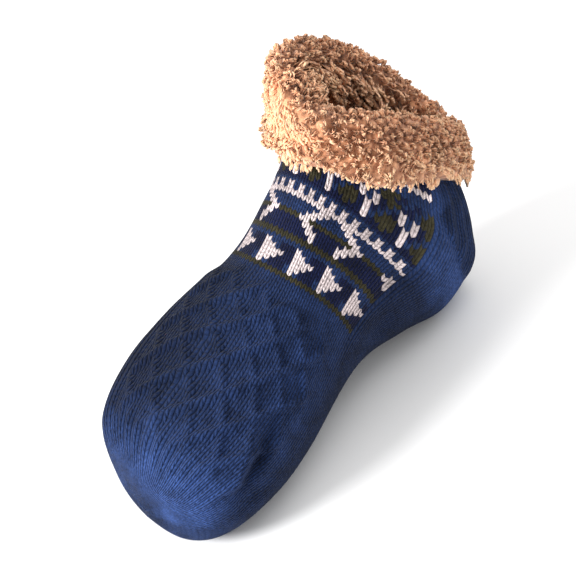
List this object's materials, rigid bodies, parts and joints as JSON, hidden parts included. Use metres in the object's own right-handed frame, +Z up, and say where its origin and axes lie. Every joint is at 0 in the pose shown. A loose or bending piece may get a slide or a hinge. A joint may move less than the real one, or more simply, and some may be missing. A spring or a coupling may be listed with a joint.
{
  "type": "slipper sock",
  "caption": "Knitted ankle-height slipper sock with a patterned instep band and a turned-down fleece cuff, open at the collar and hollow to the toe.",
  "frame": {"origin": "on the floor under the middle of the sock's box", "axes": "+Z up, -Y towards the toe, +X towards the side that the toe curves to"},
  "size_m": [0.116, 0.2466, 0.1715],
  "materials": {
    "knit": "chunky heather blue wool-like knit with navy, olive and off-white pattern yarn",
    "fleece": "curly camel-coloured sherpa pile"
  },
  "bodies": {
    "root": {"knit_sock": "knit", "fleece_cuff": "fleece"}
  },
  "joints": []
}
